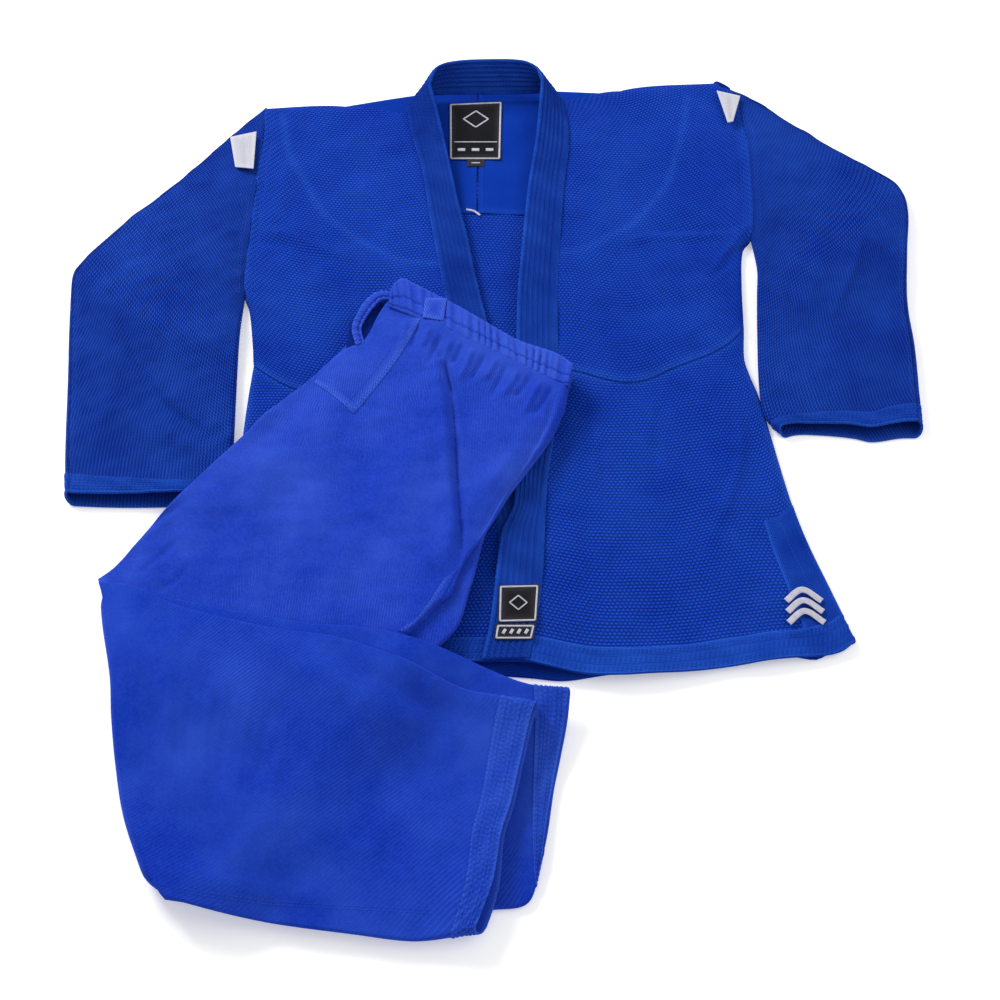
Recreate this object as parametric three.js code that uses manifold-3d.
// Martial arts uniform laid out flat: a wrap jacket with its trousers folded on top of it.
// Units are millimetres and +Z is up. "Left" and "right" are the wearer's.
// The pieces are drawn in a construction frame (X across the jacket, Y from hem to collar, both zero
// at the middle of the front hem) and the finished group is moved so that the origin is the middle of
// the whole outline on the floor.
import * as THREE from 'three';
import * as BufferGeometryUtils from 'three/addons/utils/BufferGeometryUtils.js';
import Module from 'manifold-3d';

const wasm = await Module();
wasm.setup();

// ---------------------------------------------------------------- driving dimensions
const jacketCloth = 2;            // pearl-weave cloth
const trouserCloth = 1.2;         // twill cloth
const tapeThick = 0.9;            // folded reinforcing tape
const patchThick = 0.8;           // woven labels and embroidery
const seamGap = 0.3;              // clearance between pieces that are sewn face to face
const layerLift = 1.1;            // looseness under a layer sewn on a curved panel
const edgeGap = 2.4;              // clearance between pieces that are sewn edge to edge

const bodyLength = 840;           // hem to back-neck seam
const shoulderHalf = 308;         // half the shoulder width
const chestHalf = 318;            // half the chest, seam to seam
const waistHalf = 303;            // half the waist
const hemHalf = 386;              // half the hem, slits spread
const waistHeight = 370;          // hem to waist seam at the sides
const ventHeight = 155;           // height of the side slits
const armholeDepth = 310;         // shoulder tip to underarm
const torsoRoom = 5;              // space between back and front
const hemBand = 30;               // hem tape width
const ventBand = 14;              // side-slit tape width

const sleeveReach = 224;          // shoulder tip to elbow, sideways
const sleeveDrop = 300;           // shoulder tip to elbow, downwards
const forearmLength = 330;        // elbow to cuff
const cuffWidth = 188;            // sleeve opening, flat
const sleeveHeight = 16;          // height of the lying sleeve
const cuffBand = 32;              // sleeve cuff tape width

const lapelWidth = 48;            // collar strip
const lapelThick = 6;             // collar strip over its core
const lapelWall = 1.3;            // collar cover cloth
const coreThick = 1.0;            // collar core strip
const collarStand = 36;           // height of the standing collar above its seam
const neckHalf = 104;             // half the neck opening at the collar seam

const waistHalfTrousers = 254;    // waistband, gathered and folded in half
const casingWidth = 36;           // waistband casing
const casingThick = 4.6;          // waistband casing, through its folds
const casingWall = 0.9;           // casing cloth
const waistRoom = 5;              // space between the front and back bands
const cordWide = 9;               // drawstring, flat braid
const cordThick = 2;              // drawstring
const legHeight = 7;              // one flattened trouser leg
const shinLength = 462;           // knee fold to trouser hem, along the leg
const legCuffBand = 42;           // trouser cuff band width

// ---------------------------------------------------------------- colours
const cloth = (color, roughness) => new THREE.MeshStandardMaterial({ color, roughness, metalness: 0 });
const finishes = {
  pearl: cloth(0x1f3fae, 0.85),
  twill: cloth(0x2a45bf, 0.8),
  tape: cloth(0x1b3799, 0.8),
  core: cloth(0xd8d3c4, 0.7),
  label: cloth(0x15161b, 0.75),
  thread: cloth(0xe9ebf2, 0.6),
  cord: cloth(0x4a3fb0, 0.8),
};

// ---------------------------------------------------------------- geometry helpers
const clamp01 = (t) => Math.min(1, Math.max(0, t));
const smooth = (from, to, t) => {
  const s = clamp01((t - from) / (to - from));
  return s * s * (3 - 2 * s);
};
const mix = (a, b, t) => a + (b - a) * t;
const eased = (t) => (1 - Math.cos(Math.PI * t)) / 2;

// A smooth curve through [x, y] or [x, y, z] points, read by its length fraction.
function curve(points) {
  const path = new THREE.CatmullRomCurve3(
    points.map(([x, y, z = 0]) => new THREE.Vector3(x, y, z)), false, 'centripetal');
  return (t) => path.getPointAt(clamp01(t));
}

// The part of a curve from one length fraction to another.
const stretch = (path, from, to) => (t) => path(mix(from, to, t));
const shifted = (path, dx, dy = 0, dz = 0) => (t) => path(t).add(new THREE.Vector3(dx, dy, dz));

// The surface spanned by four edges: left and right rise from bottom to top.
function patch(bottom, top, left, right) {
  const corners = [bottom(0), bottom(1), top(0), top(1)];
  return (u, v) => {
    const across = bottom(u).multiplyScalar(1 - v).addScaledVector(top(u), v);
    const along = left(v).multiplyScalar(1 - u).addScaledVector(right(v), u);
    const flat = corners[0].clone().multiplyScalar((1 - u) * (1 - v))
      .addScaledVector(corners[1], u * (1 - v))
      .addScaledVector(corners[2], (1 - u) * v)
      .addScaledVector(corners[3], u * v);
    return across.add(along).sub(flat);
  };
}

// A closed solid between an under and an upper surface, both given over u, v in 0..1.
function slab(under, over, uCount, vCount, closed = false) {
  const columns = closed ? uCount : uCount + 1;
  const positions = [];
  for (const surface of [under, over]) {
    for (let j = 0; j <= vCount; j += 1) {
      for (let i = 0; i < columns; i += 1) {
        positions.push(...surface(i / uCount, j / vCount).toArray());
      }
    }
  }
  const layer = columns * (vCount + 1);
  const at = (side, i, j) => side * layer + j * columns + (i % columns);
  const index = [];
  const quad = (a, b, c, d) => index.push(a, b, c, a, c, d);
  for (let j = 0; j < vCount; j += 1) {
    for (let i = 0; i < uCount; i += 1) {
      quad(at(1, i, j), at(1, i + 1, j), at(1, i + 1, j + 1), at(1, i, j + 1));
      quad(at(0, i, j), at(0, i, j + 1), at(0, i + 1, j + 1), at(0, i + 1, j));
    }
  }
  for (let i = 0; i < uCount; i += 1) {
    quad(at(0, i, 0), at(0, i + 1, 0), at(1, i + 1, 0), at(1, i, 0));
    quad(at(0, i + 1, vCount), at(0, i, vCount), at(1, i, vCount), at(1, i + 1, vCount));
  }
  for (let j = 0; j < vCount && !closed; j += 1) {
    quad(at(0, 0, j + 1), at(0, 0, j), at(1, 0, j), at(1, 0, j + 1));
    quad(at(0, uCount, j), at(0, uCount, j + 1), at(1, uCount, j + 1), at(1, uCount, j));
  }
  return faceOut(positions, index);
}

// A geometry whose faces point out, whichever way its surfaces were traced.
function faceOut(positions, index) {
  const corner = (k) => new THREE.Vector3().fromArray(positions, 3 * index[k]);
  let volume = 0;
  for (let k = 0; k < index.length; k += 3) {
    volume += corner(k).dot(corner(k + 1).cross(corner(k + 2)));
  }
  if (volume < 0) index.reverse();
  const geometry = new THREE.BufferGeometry();
  geometry.setAttribute('position', new THREE.Float32BufferAttribute(positions, 3));
  geometry.setIndex(index);
  geometry.computeVertexNormals();
  return geometry;
}

// Cloth lying on a height field: outline(u, v) gives x and y, rest(x, y, u, v) its underside.
function lay(outline, rest, thick, uCount, vCount) {
  const under = (u, v) => {
    const p = outline(u, v);
    return p.setZ(rest(p.x, p.y, u, v));
  };
  return slab(under, (u, v) => under(u, v).add(new THREE.Vector3(0, 0, thick)), uCount, vCount);
}

// A flattened leg or sleeve between two edges. from and to pick the part of the section in turns:
// 0 to 0.5 is the upper layer, 0.5 to 1 the lower one, and a full turn is the whole tube.
function limb(edgeA, edgeB, shape, part, aroundCount, alongCount) {
  const { from, to, wall, bottom, height } = part;
  const ring = (inset) => (u, v) => {
    const a = edgeA(v);
    const b = edgeB(v);
    const half = a.distanceTo(b) / 2;
    const turn = 2 * Math.PI * mix(from, to, u);
    const side = Math.cos(turn);
    const rise = Math.sign(Math.sin(turn)) * Math.abs(Math.sin(turn)) ** shape;
    const centre = a.clone().add(b).multiplyScalar(0.5);
    const p = centre.addScaledVector(b.clone().sub(a).normalize(), -side * (half - inset));
    const tall = height(v);
    const low = bottom(p.x, p.y, v);
    return p.setZ(low + tall / 2 + rise * (tall / 2 - inset));
  };
  return slab(ring(wall), ring(0), aroundCount, alongCount, to - from === 1);
}

// A strip between its seam edge and its free edge, thickened outwards.
function strip(seamEdge, freeEdge, inner, outer, margin, alongCount) {
  const face = (offset) => (u, v) => {
    const s = seamEdge(u);
    const f = freeEdge(u);
    const step = 0.004;
    const ahead = seamEdge(Math.min(1, u + step)).sub(seamEdge(Math.max(0, u - step)));
    const across = f.clone().sub(s);
    const width = across.length();
    const normal = across.clone().cross(ahead).normalize();
    return s.lerp(f, mix(margin / width, 1 - margin / width, v)).addScaledVector(normal, offset);
  };
  return slab(face(inner), face(outer), alongCount, 1);
}

function toManifold(geometry) {
  const bare = geometry.clone();
  bare.deleteAttribute('normal');
  const merged = BufferGeometryUtils.mergeVertices(bare, 1e-3);
  return new wasm.Manifold(new wasm.Mesh({
    numProp: 3,
    vertProperties: Float32Array.from(merged.attributes.position.array),
    triVerts: Uint32Array.from(merged.index.array),
  }));
}

function toGeometry(solid) {
  const mesh = solid.getMesh();
  const geometry = new THREE.BufferGeometry();
  geometry.setAttribute('position', new THREE.Float32BufferAttribute(mesh.vertProperties, 3));
  geometry.setIndex(Array.from(mesh.triVerts));
  geometry.computeVertexNormals();
  return geometry;
}

// A strip with a cavity that runs out of both ends, and the filler that lies in the cavity.
function casing(seamEdge, freeEdge, thick, wall, filler, alongCount) {
  const overrun = (path, share) => (t) => {
    if (t > 0 && t < 1) return path(t);
    const end = path(t);
    const inside = path(t === 0 ? 0.01 : 0.99);
    return end.addScaledVector(end.clone().sub(inside).normalize(), share);
  };
  const shell = strip(seamEdge, freeEdge, 0, thick, 0, alongCount);
  const hollow = strip(overrun(seamEdge, 2), overrun(freeEdge, 2), wall, thick - wall, wall, alongCount);
  const cover = toManifold(shell).subtract(toManifold(hollow));
  const middle = thick / 2;
  const within = strip(seamEdge, freeEdge, middle - filler.thick / 2, middle + filler.thick / 2,
    filler.margin, alongCount);
  return { cover: toGeometry(cover), filler: within };
}

const uniform = new THREE.Group();

function place(name, geometry, material) {
  const mesh = new THREE.Mesh(geometry, material);
  mesh.name = name;
  uniform.add(mesh);
}

// ---------------------------------------------------------------- jacket outline
const backTop = jacketCloth;
const frontRest = backTop + torsoRoom;
const frontTop = frontRest + jacketCloth;
const overlapRest = frontRest + lapelThick + 1;      // the left front crosses over the right lapel
const overlapTop = overlapRest + lapelThick;

const tip = {
  right: [-shoulderHalf - 14, bodyLength - 16],
  left: [shoulderHalf - 12, bodyLength + 34],
};
const neckSeam = {
  right: [-neckHalf - 24, bodyLength - 14],
  left: [neckHalf - 22, bodyLength + 2],
};
const underarm = {
  right: [-chestHalf - 4, tip.right[1] - armholeDepth - 10],
  left: [chestHalf + 4, tip.left[1] - armholeDepth + 30],
};
const sideAt = (sign) => ({
  waist: [sign * waistHalf, waistHeight + (sign > 0 ? 30 : 0)],
  vent: [sign * (waistHalf + (sign > 0 ? 36 : 8)), ventHeight],
  corner: [sign * hemHalf, sign > 0 ? 24 : 14],
});
const sides = { right: sideAt(-1), left: sideAt(1) };

const midpoint = (a, b) => [mix(a[0], b[0], 0.5), mix(a[1], b[1], 0.5)];
const sideEdge = {
  right: curve([sides.right.corner, sides.right.vent, sides.right.waist, underarm.right,
    midpoint(underarm.right, tip.right), tip.right]),
  left: curve([sides.left.corner, sides.left.vent, sides.left.waist, underarm.left,
    midpoint(underarm.left, tip.left), tip.left]),
};
const hemDip = 14;
const hemLine = curve([sides.right.corner, [-hemHalf * 0.55, -2], [0, -4], [hemHalf * 0.3, -hemDip],
  [hemHalf * 0.6, -8], sides.left.corner]);

// ---------------------------------------------------------------- collar path
// Free edge and seam edge, from the hidden end of the right lapel round the neck to the left one.
const standBase = 11;
const standTop = standBase + collarStand;
const crossing = { x: 29, y: 0 };                     // hidden end of the right lapel
const lapelStart = [-neckHalf + 36, waistHeight + 120];
const seamPoints = {
  right: [[crossing.x, crossing.y, frontRest], [-18, 230, frontRest], [...lapelStart, frontRest],
    [-neckHalf + 13, bodyLength - 220, frontRest + 1], [-neckHalf - 1, bodyLength - 132, frontRest + 3],
    [-neckHalf - 15, bodyLength - 72, standBase - 1], [...neckSeam.right, standBase]],
  neck: [[...neckSeam.right, standBase], [-neckHalf - 2, bodyLength + 1, standBase],
    [-neckHalf / 2 - 20, bodyLength + 2, standBase], [-22, bodyLength + 3, standBase],
    [neckHalf / 2 - 8, bodyLength + 6, standBase], [neckHalf - 32, bodyLength + 10, standBase],
    [...neckSeam.left, standBase]],
  left: [[...neckSeam.left, standBase], [neckHalf - 12, bodyLength - 60, standBase + 1],
    [neckHalf - 14, bodyLength - 140, overlapRest - 1], [neckHalf - 24, bodyLength - 223, overlapRest],
    [neckHalf - 32, waistHeight + 118, overlapRest], [neckHalf - 34, waistHeight + 16, overlapRest],
    [56, 224, overlapRest], [45, 93, overlapRest], [32, 0, overlapRest]],
};
const freePoints = {
  right: [[crossing.x + lapelWidth, crossing.y + 6, frontRest], [-18 + lapelWidth, 240, frontRest],
    [lapelStart[0] + lapelWidth + 1, lapelStart[1] + 8, frontRest],
    [-neckHalf + 56, bodyLength - 214, frontRest + 4], [-neckHalf + 38, bodyLength - 128, frontRest + 14],
    [-neckHalf + 22, bodyLength - 62, standTop - 14], [-neckHalf + 10, bodyLength - 8, standTop - 4]],
  neck: [[-neckHalf + 10, bodyLength - 8, standTop - 4], [-neckHalf + 22, bodyLength + 16, standTop],
    [-neckHalf / 2, bodyLength + 24, standTop], [-22, bodyLength + 26, standTop],
    [neckHalf / 2 - 20, bodyLength + 26, standTop], [neckHalf - 52, bodyLength + 20, standTop],
    [neckHalf - 50, bodyLength - 4, standTop - 4]],
  left: [[neckHalf - 50, bodyLength - 4, standTop - 4], [neckHalf - 52, bodyLength - 60, standTop - 14],
    [neckHalf - 64, bodyLength - 140, overlapRest + 7], [neckHalf - 72, bodyLength - 223, overlapRest + 2],
    [72 - lapelWidth, waistHeight + 118, overlapRest], [70 - lapelWidth, waistHeight + 16, overlapRest],
    [56 - lapelWidth, 224, overlapRest], [44 - lapelWidth, 93, overlapRest],
    [32 - lapelWidth, -4, overlapRest]],
};
const collarNames = { right: 'right_lapel', neck: 'neck_band', left: 'left_lapel' };
const collarCore = { thick: coreThick, margin: lapelWall + 1 };
const butt = { right: [0, 0.997], neck: [0.006, 0.994], left: [0.003, 1] };
for (const [side, name] of Object.entries(collarNames)) {
  const seam = stretch(curve(seamPoints[side]), ...butt[side]);
  const free = stretch(curve(freePoints[side]), ...butt[side]);
  const { cover, filler } = casing(seam, free, lapelThick, lapelWall, collarCore, 24);
  place(`${name}_cover`, cover, finishes.pearl);
  place(`${name}_core`, filler, finishes.core);
}

// ---------------------------------------------------------------- jacket panels
const seamRight = shifted(curve(seamPoints.right), -edgeGap);
const seamLeft = (t) => curve(seamPoints.left)(1 - t).add(new THREE.Vector3(edgeGap, 0, 0));
const rim = 0.14;                                     // share of a panel that bends down to its seam
const closeTo = (distance) => smooth(-0.02, rim, distance);

// Waist seams cross each front from the side to the lapel.
const waistAlong = { side: 0.42, lapelRight: 0.5, lapelLeft: 0.46 };
const midSeam = (edge, lapel, edgeAt, lapelAt, flip) => {
  const a = edge(edgeAt);
  const b = lapel(lapelAt);
  const middle = [mix(a.x, b.x, 0.45), mix(a.y, b.y, 0.45) - 26];
  const path = curve([[a.x, a.y], middle, [b.x, b.y]]);
  return flip ? (t) => path(1 - t) : path;
};
const waistRight = midSeam(sideEdge.right, seamRight, waistAlong.side, waistAlong.lapelRight, false);
const waistLeft = midSeam(sideEdge.left, seamLeft, waistAlong.side, waistAlong.lapelLeft, true);
const shoulderRight = curve([tip.right, [mix(tip.right[0], neckSeam.right[0], 0.5), tip.right[1] - 1],
  [neckSeam.right[0] - edgeGap, neckSeam.right[1]]]);
const shoulderLeft = curve([[neckSeam.left[0] + edgeGap, neckSeam.left[1]],
  [mix(neckSeam.left[0], tip.left[0], 0.5), bodyLength + 10], tip.left]);

const flatten = (path) => (t) => path(t).setZ(0);
const easedOutline = (outline) => (u, v) => outline(eased(u), eased(v));
const raise = (lower) => (side, shoulder) => lower + torsoRoom * side * shoulder;
const frontHeight = raise(backTop + seamGap);

// Height of the front cloth above the floor by its distance from the side and shoulder seams.
function frontUnder(sideOfPanel, isChest) {
  return (x, y, u, v) => {
    const fromSide = sideOfPanel === 'right' ? eased(u) : 1 - eased(u);
    const fromShoulder = isChest ? 1 - eased(v) : 1;
    const base = frontHeight(closeTo(fromSide), closeTo(fromShoulder));
    const overlap = sideOfPanel === 'left' ? smooth(0.45, 0.78, fromSide) * smooth(0, 0.2, fromShoulder) : 0;
    return base + overlap * (overlapRest - frontRest);
  };
}

// The front hems end at the lapel seams.
const panelEdges = {
  right: {
    side: flatten(sideEdge.right), lapel: flatten(seamRight), waist: waistRight,
    shoulder: shoulderRight,
    hem: curve([sides.right.corner, [-hemHalf * 0.5, 0], [crossing.x - edgeGap, 0]]),
  },
  left: {
    side: flatten(sideEdge.left), lapel: flatten(seamLeft), waist: waistLeft,
    shoulder: shoulderLeft,
    hem: curve([[32 + edgeGap, 0], [hemHalf * 0.3, -hemDip], [hemHalf * 0.6, -8],
      sides.left.corner]),
  },
};

const panelOutline = {};
for (const side of ['right', 'left']) {
  const edges = panelEdges[side];
  const lapelCut = side === 'right' ? waistAlong.lapelRight : waistAlong.lapelLeft;
  const lower = { outer: stretch(edges.side, 0, waistAlong.side), inner: stretch(edges.lapel, 0, lapelCut) };
  const upper = { outer: stretch(edges.side, waistAlong.side, 1), inner: stretch(edges.lapel, lapelCut, 1) };
  const ordered = ({ outer, inner }) => (side === 'right' ? [outer, inner] : [inner, outer]);
  panelOutline[side] = {
    skirt: patch(edges.hem, shifted(edges.waist, 0, -edgeGap), ...ordered(lower)),
    chest: patch(edges.waist, edges.shoulder, ...ordered(upper)),
  };
  place(`${side}_front_chest`, lay(easedOutline(panelOutline[side].chest), frontUnder(side, true),
    jacketCloth, 9, 9), finishes.pearl);
  place(`${side}_front_skirt`, lay(easedOutline(panelOutline[side].skirt), frontUnder(side, false),
    jacketCloth, 9, 7), finishes.pearl);
}

// The back: one upper and one lower panel, flat on the floor, with a two-piece yoke inside.
const backNeck = curve([tip.right, [neckSeam.right[0], neckSeam.right[1] - 4], [-22, bodyLength - 8],
  [neckSeam.left[0], neckSeam.left[1] - 4], tip.left]);
const backSideCut = 0.4;
const backWaist = curve([sideEdge.right(backSideCut).toArray(), [0, waistHeight - 30],
  sideEdge.left(backSideCut).toArray()]);
const onFloor = () => 0;
place('back_chest', lay(patch(backWaist, backNeck, stretch(sideEdge.right, backSideCut, 1),
  stretch(sideEdge.left, backSideCut, 1)), onFloor, jacketCloth, 8, 8), finishes.pearl);
place('back_skirt', lay(patch(hemLine, shifted(backWaist, 0, -edgeGap),
  stretch(sideEdge.right, 0, backSideCut), stretch(sideEdge.left, 0, backSideCut)),
onFloor, jacketCloth, 8, 6), finishes.pearl);

const yokeDepth = 205;
const yokeHalf = 215;
const yokeTop = bodyLength - 14;
const yokeRest = backTop + seamGap;
const centreSeam = -26;
for (const [side, sign] of [['right', -1], ['left', 1]]) {
  const outline = (u, v) => {
    const x = centreSeam + sign * mix(edgeGap / 2, yokeHalf - 60 * v, sign > 0 ? u : 1 - u);
    const top = yokeTop - 46 * smooth(neckHalf - 40, neckHalf - 10, Math.abs(x - centreSeam));
    return new THREE.Vector3(x, mix(bodyLength - yokeDepth, top, v), 0);
  };
  place(`${side}_back_yoke`, lay(outline, () => yokeRest, tapeThick, 8, 3), finishes.twill);
}

// Labels inside the neck and the small white tack below them.
const yokeLevel = yokeRest + tapeThick + seamGap;
function plate(name, centre, size, rest, thick, material, turn = 0) {
  const outline = (u, v) => {
    const dx = (u - 0.5) * size[0];
    const dy = (v - 0.5) * size[1];
    const x = centre[0] + dx * Math.cos(turn) - dy * Math.sin(turn);
    return new THREE.Vector3(x, centre[1] + dx * Math.sin(turn) + dy * Math.cos(turn), 0);
  };
  place(name, lay(outline, rest, thick, 2, 2), material);
}
const neckLabel = { width: 72, height: 92 };
const labelCentre = [centreSeam - 7, bodyLength - 58];
plate('neck_label', labelCentre, [neckLabel.width, neckLabel.height], () => yokeLevel, patchThick,
  finishes.label, 0.02);
plate('size_tab', [centreSeam - 8, labelCentre[1] - neckLabel.height / 2 - 7], [22, 9], () => yokeLevel,
  patchThick, finishes.label);
plate('bar_tack', [centreSeam - 4, bodyLength - yokeDepth + 6], [20, 5], () => yokeLevel, patchThick,
  finishes.thread, -0.6);

// ---------------------------------------------------------------- jacket reinforcements
// A thin layer on top of a front panel. region(u, v) gives the panel's own u and v.
function onPanel(side, part, region, thick, uCount, vCount, lift = 0) {
  const outline = panelOutline[side][part];
  const height = frontUnder(side, part === 'chest');
  const invert = (t) => Math.acos(1 - 2 * clamp01(t)) / Math.PI;
  const under = (u, v) => {
    const [pu, pv] = region(u, v);
    const p = outline(pu, pv);
    const rest = height(p.x, p.y, invert(pu), invert(pv));
    return p.setZ(rest + jacketCloth + layerLift + lift);
  };
  return slab(under, (u, v) => under(u, v).add(new THREE.Vector3(0, 0, thick)), uCount, vCount);
}

const yokeArc = (t) => 1 - Math.sqrt(1 - t * t);
const shoulderPatch = { outer: 0.12, lapel: 0.06, low: 0.34, high: 0.985 };
for (const side of ['right', 'left']) {
  const region = (u, v) => {
    const fromLapel = side === 'right' ? 1 - u : u;
    const low = mix(shoulderPatch.low, shoulderPatch.high - 0.06, yokeArc(0.985 * fromLapel));
    const inner = mix(shoulderPatch.lapel, 1 - shoulderPatch.outer, fromLapel);
    return [side === 'right' ? 1 - inner : inner, mix(low, shoulderPatch.high, v)];
  };
  place(`${side}_shoulder_reinforcement`, onPanel(side, 'chest', region, tapeThick, 8, 6), finishes.pearl);
}

// Hem tapes on the skirt fronts and on the back's lower edge, and tapes along the side slits.
const skirtHeight = waistHeight - 20;
const hemShare = hemBand / skirtHeight;
const ventShare = ventBand / waistHalf;
const ventEnd = 0.9 * (ventHeight / waistHeight);
for (const side of ['right', 'left']) {
  const fromSide = (t) => (side === 'right' ? t : 1 - t);
  const hemRegion = (u, v) => [mix(0.012, 0.988, u), mix(0.012, hemShare, v)];
  place(`${side}_front_hem_tape`, onPanel(side, 'skirt', hemRegion, tapeThick, 16, 1), finishes.tape);
  const ventRegion = (u, v) => [
    fromSide(mix(0.012, ventShare, side === 'right' ? u : 1 - u)), mix(hemShare + 0.008, ventEnd, v)];
  place(`${side}_front_slit_tape`, onPanel(side, 'skirt', ventRegion, tapeThick, 1, 6), finishes.tape);
}
const backTapeRest = () => backTop + seamGap;
const backHemTape = patch(shifted(hemLine, 0, 2), shifted(hemLine, 0, hemBand),
  (t) => hemLine(0).add(new THREE.Vector3(2, mix(2, hemBand, t), 0)),
  (t) => hemLine(1).add(new THREE.Vector3(-2, mix(2, hemBand, t), 0)));
const insideEnds = (outline, margin) => (u, v) => outline(mix(margin, 1 - margin, u), v);
place('back_hem_tape', lay(insideEnds(backHemTape, 0.03), backTapeRest, tapeThick / 2, 12, 1),
  finishes.tape);

// Patches at the lapel's end and an embroidered emblem at the hem corner.
const lapelPatch = { width: 42, squareHeight: 46, stripHeight: 16, level: overlapTop + seamGap };
const lapelPatchTurn = 0.06;
plate('lapel_patch_square', [22, 63], [lapelPatch.width, lapelPatch.squareHeight],
  () => lapelPatch.level, patchThick, finishes.label, lapelPatchTurn);
plate('lapel_patch_strip', [19, 29], [lapelPatch.width, lapelPatch.stripHeight],
  () => lapelPatch.level, patchThick, finishes.label, lapelPatchTurn);
const emblemAt = { u: [0.86, 0.93], v: [0.17, 0.27] };
place('hem_emblem', onPanel('left', 'skirt',
  (u, v) => [mix(...emblemAt.u, u), mix(...emblemAt.v, v)], patchThick, 2, 2), finishes.thread);

// ---------------------------------------------------------------- sleeves
const sleeveEdges = {
  right: {
    outer: [[tip.right[0] - edgeGap, tip.right[1]], [tip.right[0] - 0.35 * sleeveReach, tip.right[1] - 107],
      [tip.right[0] - 0.73 * sleeveReach, tip.right[1] - 217],
      [tip.right[0] - sleeveReach - 4, tip.right[1] - sleeveDrop + 8],
      [tip.right[0] - sleeveReach + 12, tip.right[1] - sleeveDrop - 42],
      [tip.right[0] - sleeveReach + 32, tip.right[1] - sleeveDrop - 180],
      [underarm.right[0] + 13 - cuffWidth, tip.right[1] - sleeveDrop + 16 - forearmLength]],
    inner: [[underarm.right[0] - edgeGap - 2, underarm.right[1]],
      [underarm.right[0] - edgeGap - 1, underarm.right[1] - 74],
      [underarm.right[0] + 5, underarm.right[1] - 220],
      [underarm.right[0] + 13, tip.right[1] - sleeveDrop + 16 - forearmLength]],
  },
  left: {
    outer: [[tip.left[0] + edgeGap, tip.left[1]], [tip.left[0] + 0.43 * sleeveReach, tip.left[1] - 82],
      [tip.left[0] + 0.77 * sleeveReach, tip.left[1] - 150],
      [tip.left[0] + sleeveReach + 8, tip.left[1] - sleeveDrop * 0.67],
      [tip.left[0] + sleeveReach, tip.left[1] - sleeveDrop - 6],
      [tip.left[0] + sleeveReach - 14, tip.left[1] - sleeveDrop - 160],
      [underarm.left[0] - 8 + cuffWidth, tip.left[1] - sleeveDrop + 62 - forearmLength]],
    inner: [[underarm.left[0] + edgeGap + 7, underarm.left[1]],
      [underarm.left[0] + edgeGap + 1, underarm.left[1] - 84],
      [underarm.left[0] - 8, underarm.left[1] - 240],
      [underarm.left[0] - 3, tip.left[1] - sleeveDrop + 56 - forearmLength]],
  },
};
const tapeShare = cuffBand / (armholeDepth + forearmLength);
const liftOff = 0.2;                                   // the sleeves clear the floor by this much
const sleeveRise = (v) => mix(10, sleeveHeight, smooth(0, 0.3, v));
for (const side of ['right', 'left']) {
  const outer = curve(sleeveEdges[side].outer);
  const inner = curve(sleeveEdges[side].inner);
  const [edgeA, edgeB] = side === 'right' ? [outer, inner] : [inner, outer];
  const bottom = () => liftOff;
  const tube = (fromShare, toShare, part, aroundCount, alongCount) => limb(
    stretch(edgeA, fromShare, toShare), stretch(edgeB, fromShare, toShare), 0.6, part, aroundCount, alongCount);
  const whole = { from: 0, to: 1, wall: jacketCloth, bottom, height: sleeveRise };
  place(`${side}_sleeve`, tube(0, 1, whole, 20, 8), finishes.pearl);
  const lining = {
    from: 0, to: 1, wall: tapeThick,
    bottom: () => liftOff + jacketCloth + seamGap,
    height: () => sleeveHeight - 2 * (jacketCloth + seamGap),
  };
  const pulledIn = (path, other) => (t) => {
    const p = path(t);
    const inward = other(t).sub(p).normalize();
    return p.addScaledVector(inward, jacketCloth + 4);
  };
  place(`${side}_sleeve_cuff_tape`, limb(
    stretch(pulledIn(edgeA, edgeB), 1 - tapeShare, 0.998), stretch(pulledIn(edgeB, edgeA), 1 - tapeShare, 0.998),
    0.6, lining, 16, 2), finishes.tape);
}

// Shoulder emblems are sewn on the sleeve just below each tip.
const emblemLevel = liftOff + sleeveHeight + seamGap;
plate('right_shoulder_emblem', [tip.right[0] - 36, tip.right[1] - 86], [26, 66], () => emblemLevel,
  patchThick, finishes.thread, -0.1);
plate('left_shoulder_emblem', [tip.left[0] + 34, tip.left[1] - 46], [26, 50], () => emblemLevel,
  patchThick, finishes.thread, 0.2);

// ---------------------------------------------------------------- trousers
// The trousers are folded in half with the right leg on top, then both legs are folded back at the
// knee. Levels count up from the jacket: left thigh, right thigh, right shin, left shin.
const waistTurn = Math.atan2(-136, 215);
const waistAcross = new THREE.Vector3(-Math.sin(waistTurn), Math.cos(waistTurn), 0);
const waistAlongDir = new THREE.Vector3(Math.cos(waistTurn), Math.sin(waistTurn), 0);
const waistStart = new THREE.Vector3(-138, 470, 0);    // lower left end of the waistband
const waistEnd = waistStart.clone().addScaledVector(waistAlongDir, waistHalfTrousers);
const bandEdge = (share, offset) => (t) => waistStart.clone()
  .addScaledVector(waistAlongDir, waistHalfTrousers * mix(share[0], share[1], t))
  .addScaledVector(waistAcross, offset);

const knee = { top: [-449, 99], bottom: [-316, -263] };

// How high the trousers lie: over the jacket's fronts, its lapels and the sleeve, and down past the hem.
const overFront = frontTop + tapeThick + layerLift + 1;
const overLapels = overlapTop + 1.2;
const trouserRest = (x, y) => {
  const onJacket = smooth(-140, -12, y) * smooth(-446, -380, x);
  const rest = mix(overFront, overLapels, smooth(-165, -88, x)) * onJacket;
  const onSleeve = smooth(-425, -385, x) * (1 - smooth(-300, -255, x)) * smooth(150, 195, y)
    * (1 - smooth(330, 380, y));
  return Math.max(0.2, rest + onSleeve * (sleeveHeight + 1 - rest));
};

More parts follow.
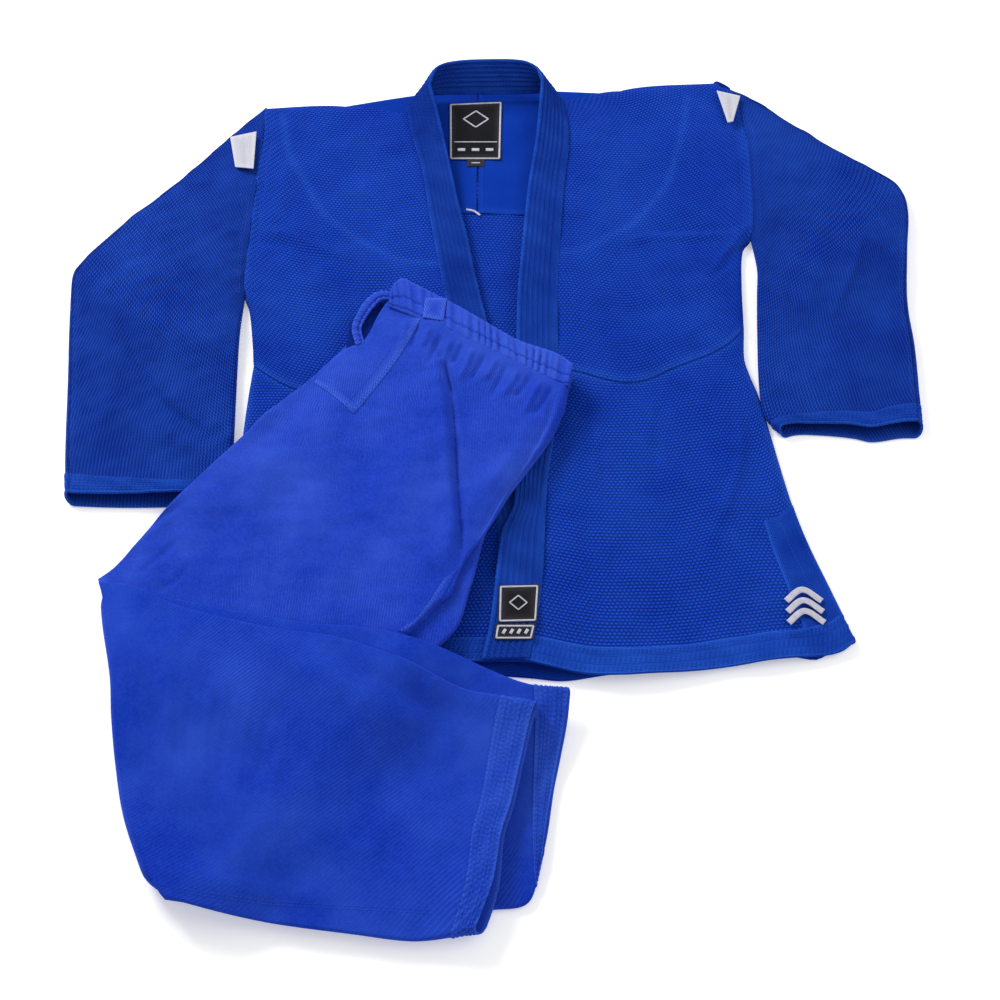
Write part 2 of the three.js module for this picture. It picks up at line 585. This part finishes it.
const leftRise = (v) => mix(2 * casingThick + seamGap, legHeight, smooth(0, 0.35, v));
const rightRise = (v) => mix(2 * casingThick + waistRoom, legHeight, smooth(0, 0.35, v));
const thighEdges = {
  side: curve([waistStart.toArray(), [-168, 457], [-178, 431], [-188, 413], [-230, 355], [-275, 309], [-297, 277],
    [-362, 198], [-398, 150], [-427, 106], knee.top]),
  inner: curve([waistEnd.toArray(), [58, 270], [38, 238], [11, 198], [-20, 138], [-54, 67], [-74, 50],
    [-160, -60], [-250, -180], knee.bottom]),
};
const seamTurn = 0.008;                                // part of a turn left open at each side seam
const halves = {
  upper: { from: seamTurn, to: 0.5 - seamTurn },
  lower: { from: 1 - seamTurn, to: 0.5 + seamTurn },
};
const section = 0.35;

function thigh(leg, level, height, frontHalf) {
  for (const half of ['upper', 'lower']) {
    const name = half === frontHalf ? 'front' : 'back';
    place(`${leg}_thigh_${name}`, limb(thighEdges.side, thighEdges.inner, section, {
      ...halves[half], wall: trouserCloth, height,
      bottom: (x, y, v) => trouserRest(x, y) + level(v),
    }, 12, 12), finishes.twill);
  }
}
thigh('left', () => 0, leftRise, 'lower');
thigh('right', (v) => leftRise(v) + seamGap, rightRise, 'upper');

// Beyond the thighs the folded-back shins sink towards the floor.
const inseamNormal = new THREE.Vector3(313, -242, 0).normalize();
const pastThigh = (x, y) => new THREE.Vector3(x + 74, y - 50, 0).dot(inseamNormal);
const foldGap = 2.8;                                   // looseness between folded legs
const stackLevel = 2 * legHeight + seamGap + foldGap;
const shinRest = (x, y) => trouserRest(x, y) + stackLevel * (1 - smooth(8, 95, pastThigh(x, y)));
const shinEdges = {
  right: {
    upper: curve([[-446, 90], [-347, 60], [-211, 34], [-107, 17], [-39, -6], [28, -32], [71, -37]]),
    lower: curve([[-313, -262], [-208, -272], [-100, -272], [-9, -266], [28, -259]]),
  },
  left: {
    upper: curve([[-446, 97], [-401, 74], [-347, 51], [-243, 24], [-174, 14], [-106, -12], [-39, -41],
      [-6, -48], [37, -56]]),
    lower: curve([[-315, -264], [-271, -269], [-208, -279], [-145, -287], [-82, -294], [-24, -299]]),
  },
};
const cuffShare = legCuffBand / (shinLength - 100);
for (const [leg, level, frontHalf] of [['right', 0, 'lower'], ['left', legHeight + foldGap, 'upper']]) {
  const edges = shinEdges[leg];
  const part = {
    wall: trouserCloth, height: () => legHeight,
    bottom: (x, y) => shinRest(x, y) + level,
  };
  const legTop = stretch(edges.upper, 0, 1 - cuffShare);
  const legLow = stretch(edges.lower, 0, 1 - cuffShare);
  for (const half of ['upper', 'lower']) {
    const name = half === frontHalf ? 'front' : 'back';
    place(`${leg}_shin_${name}`, limb(legTop, legLow, section, { ...halves[half], ...part }, 12, 10),
      finishes.twill);
  }
  const band = { ...part, from: 0, to: 1 };
  place(`${leg}_leg_cuff_band`, limb(stretch(edges.upper, 1 - cuffShare + 0.004, 1),
    stretch(edges.lower, 1 - cuffShare + 0.004, 1), section, band, 24, 2), finishes.twill);
}

// Waistband: four casings with the drawstring in them, between the layers of the waist.
const bandLevels = {
  left_front: 0,
  left_back: casingThick + seamGap,
  right_back: 2 * casingThick + 2 * seamGap,
  right_front: 3 * casingThick + waistRoom + seamGap,
};
const bandBase = overLapels;
const cordFill = { thick: cordThick, margin: (casingWidth - cordWide) / 2 };
for (const [name, level] of Object.entries(bandLevels)) {
  const raiseTo = (path) => (t) => path(t).setZ(bandBase + level);
  const low = raiseTo(bandEdge([1, 0], edgeGap));
  const high = raiseTo(bandEdge([1, 0], edgeGap + casingWidth));
  const { cover, filler } = casing(low, high, casingThick, casingWall, cordFill, 8);
  place(`${name}_waistband`, cover, finishes.twill);
  place(`${name}_drawstring`, filler, finishes.cord);
}

// Trim on the visible side of the trousers.
const waistTop = bandBase + bandLevels.right_front + casingThick;
const loopAt = waistStart.clone().addScaledVector(waistAlongDir, 62)
  .addScaledVector(waistAcross, edgeGap + casingWidth / 2);
plate('right_belt_loop', [loopAt.x, loopAt.y], [12, casingWidth], () => waistTop + seamGap, trouserCloth,
  finishes.twill, waistTurn);

function onThigh(region, thick, uCount, vCount) {
  const under = (u, v) => {
    const [across, along] = region(u, v);
    const a = thighEdges.side(along);
    const p = a.clone().lerp(thighEdges.inner(along), across);
    const crown = (2 * Math.sqrt(across * (1 - across))) ** section;
    const total = leftRise(along) + seamGap + rightRise(along) * (1 + crown) / 2;
    return p.setZ(trouserRest(p.x, p.y) + total + layerLift);
  };
  return slab(under, (u, v) => under(u, v).add(new THREE.Vector3(0, 0, thick)), uCount, vCount);
}
place('right_hip_reinforcement', onThigh((u, v) => [mix(0.1, 0.36, u), mix(0.09, 0.34, v)],
  tapeThick, 5, 5), finishes.twill);
place('crotch_gusset', onThigh((u, v) => [mix(0.78, 0.92, u), mix(0.36, 0.44, v)], tapeThick, 3, 3),
  finishes.twill);

// The origin is the middle of the outline, on the floor.
const outline = new THREE.Box3().setFromObject(uniform);
const middle = outline.getCenter(new THREE.Vector3());
uniform.position.set(-middle.x, -middle.y, -outline.min.z);

export default uniform;
